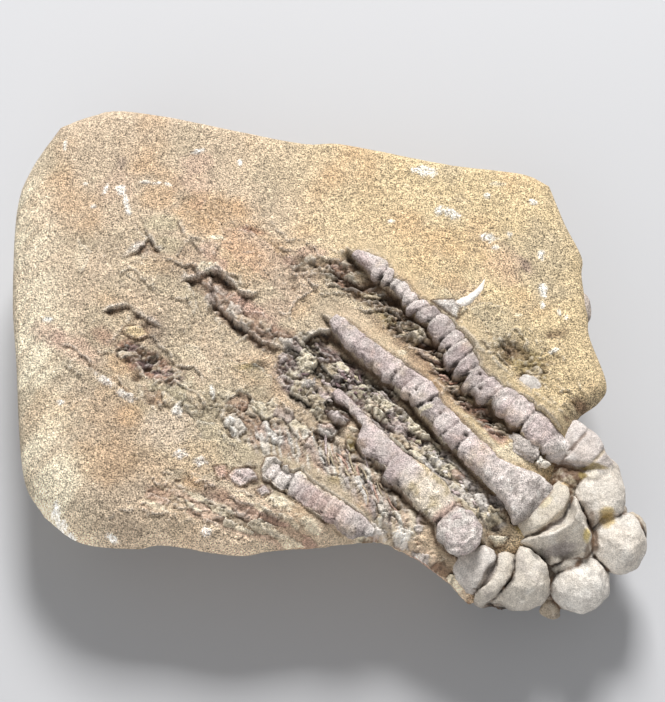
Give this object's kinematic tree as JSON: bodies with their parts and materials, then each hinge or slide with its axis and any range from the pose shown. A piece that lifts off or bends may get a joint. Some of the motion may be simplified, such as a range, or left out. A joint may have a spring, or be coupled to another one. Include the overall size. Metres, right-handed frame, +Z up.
{
  "type": "crinoid fossil",
  "caption": "Fossil sea lily crown with long segmented arms and a plated cup, half sunk in a loose slab of siltstone that rests on its flat back.",
  "frame": {"origin": "on the slab's flat back, under the centre of the object's bounding box", "axes": "+Z up out of the slab's face, +X to the right towards the cup, +Y away from the near edge"},
  "size_m": [0.1068, 0.0909, 0.0264],
  "materials": {
    "siltstone": "matt, gritty",
    "calcite": "matt, finely speckled",
    "pale_calcite": "smooth, dull",
    "chalk": "matt"
  },
  "bodies": {
    "root": {"matrix": "siltstone", "cup": "pale_calcite", "arm_1": "calcite", "arm_2": "calcite", "arm_3": "calcite", "arm_4": "calcite", "rim_columnal": "calcite", "pit_ossicle": "chalk", "spine": "chalk"}
  },
  "joints": []
}
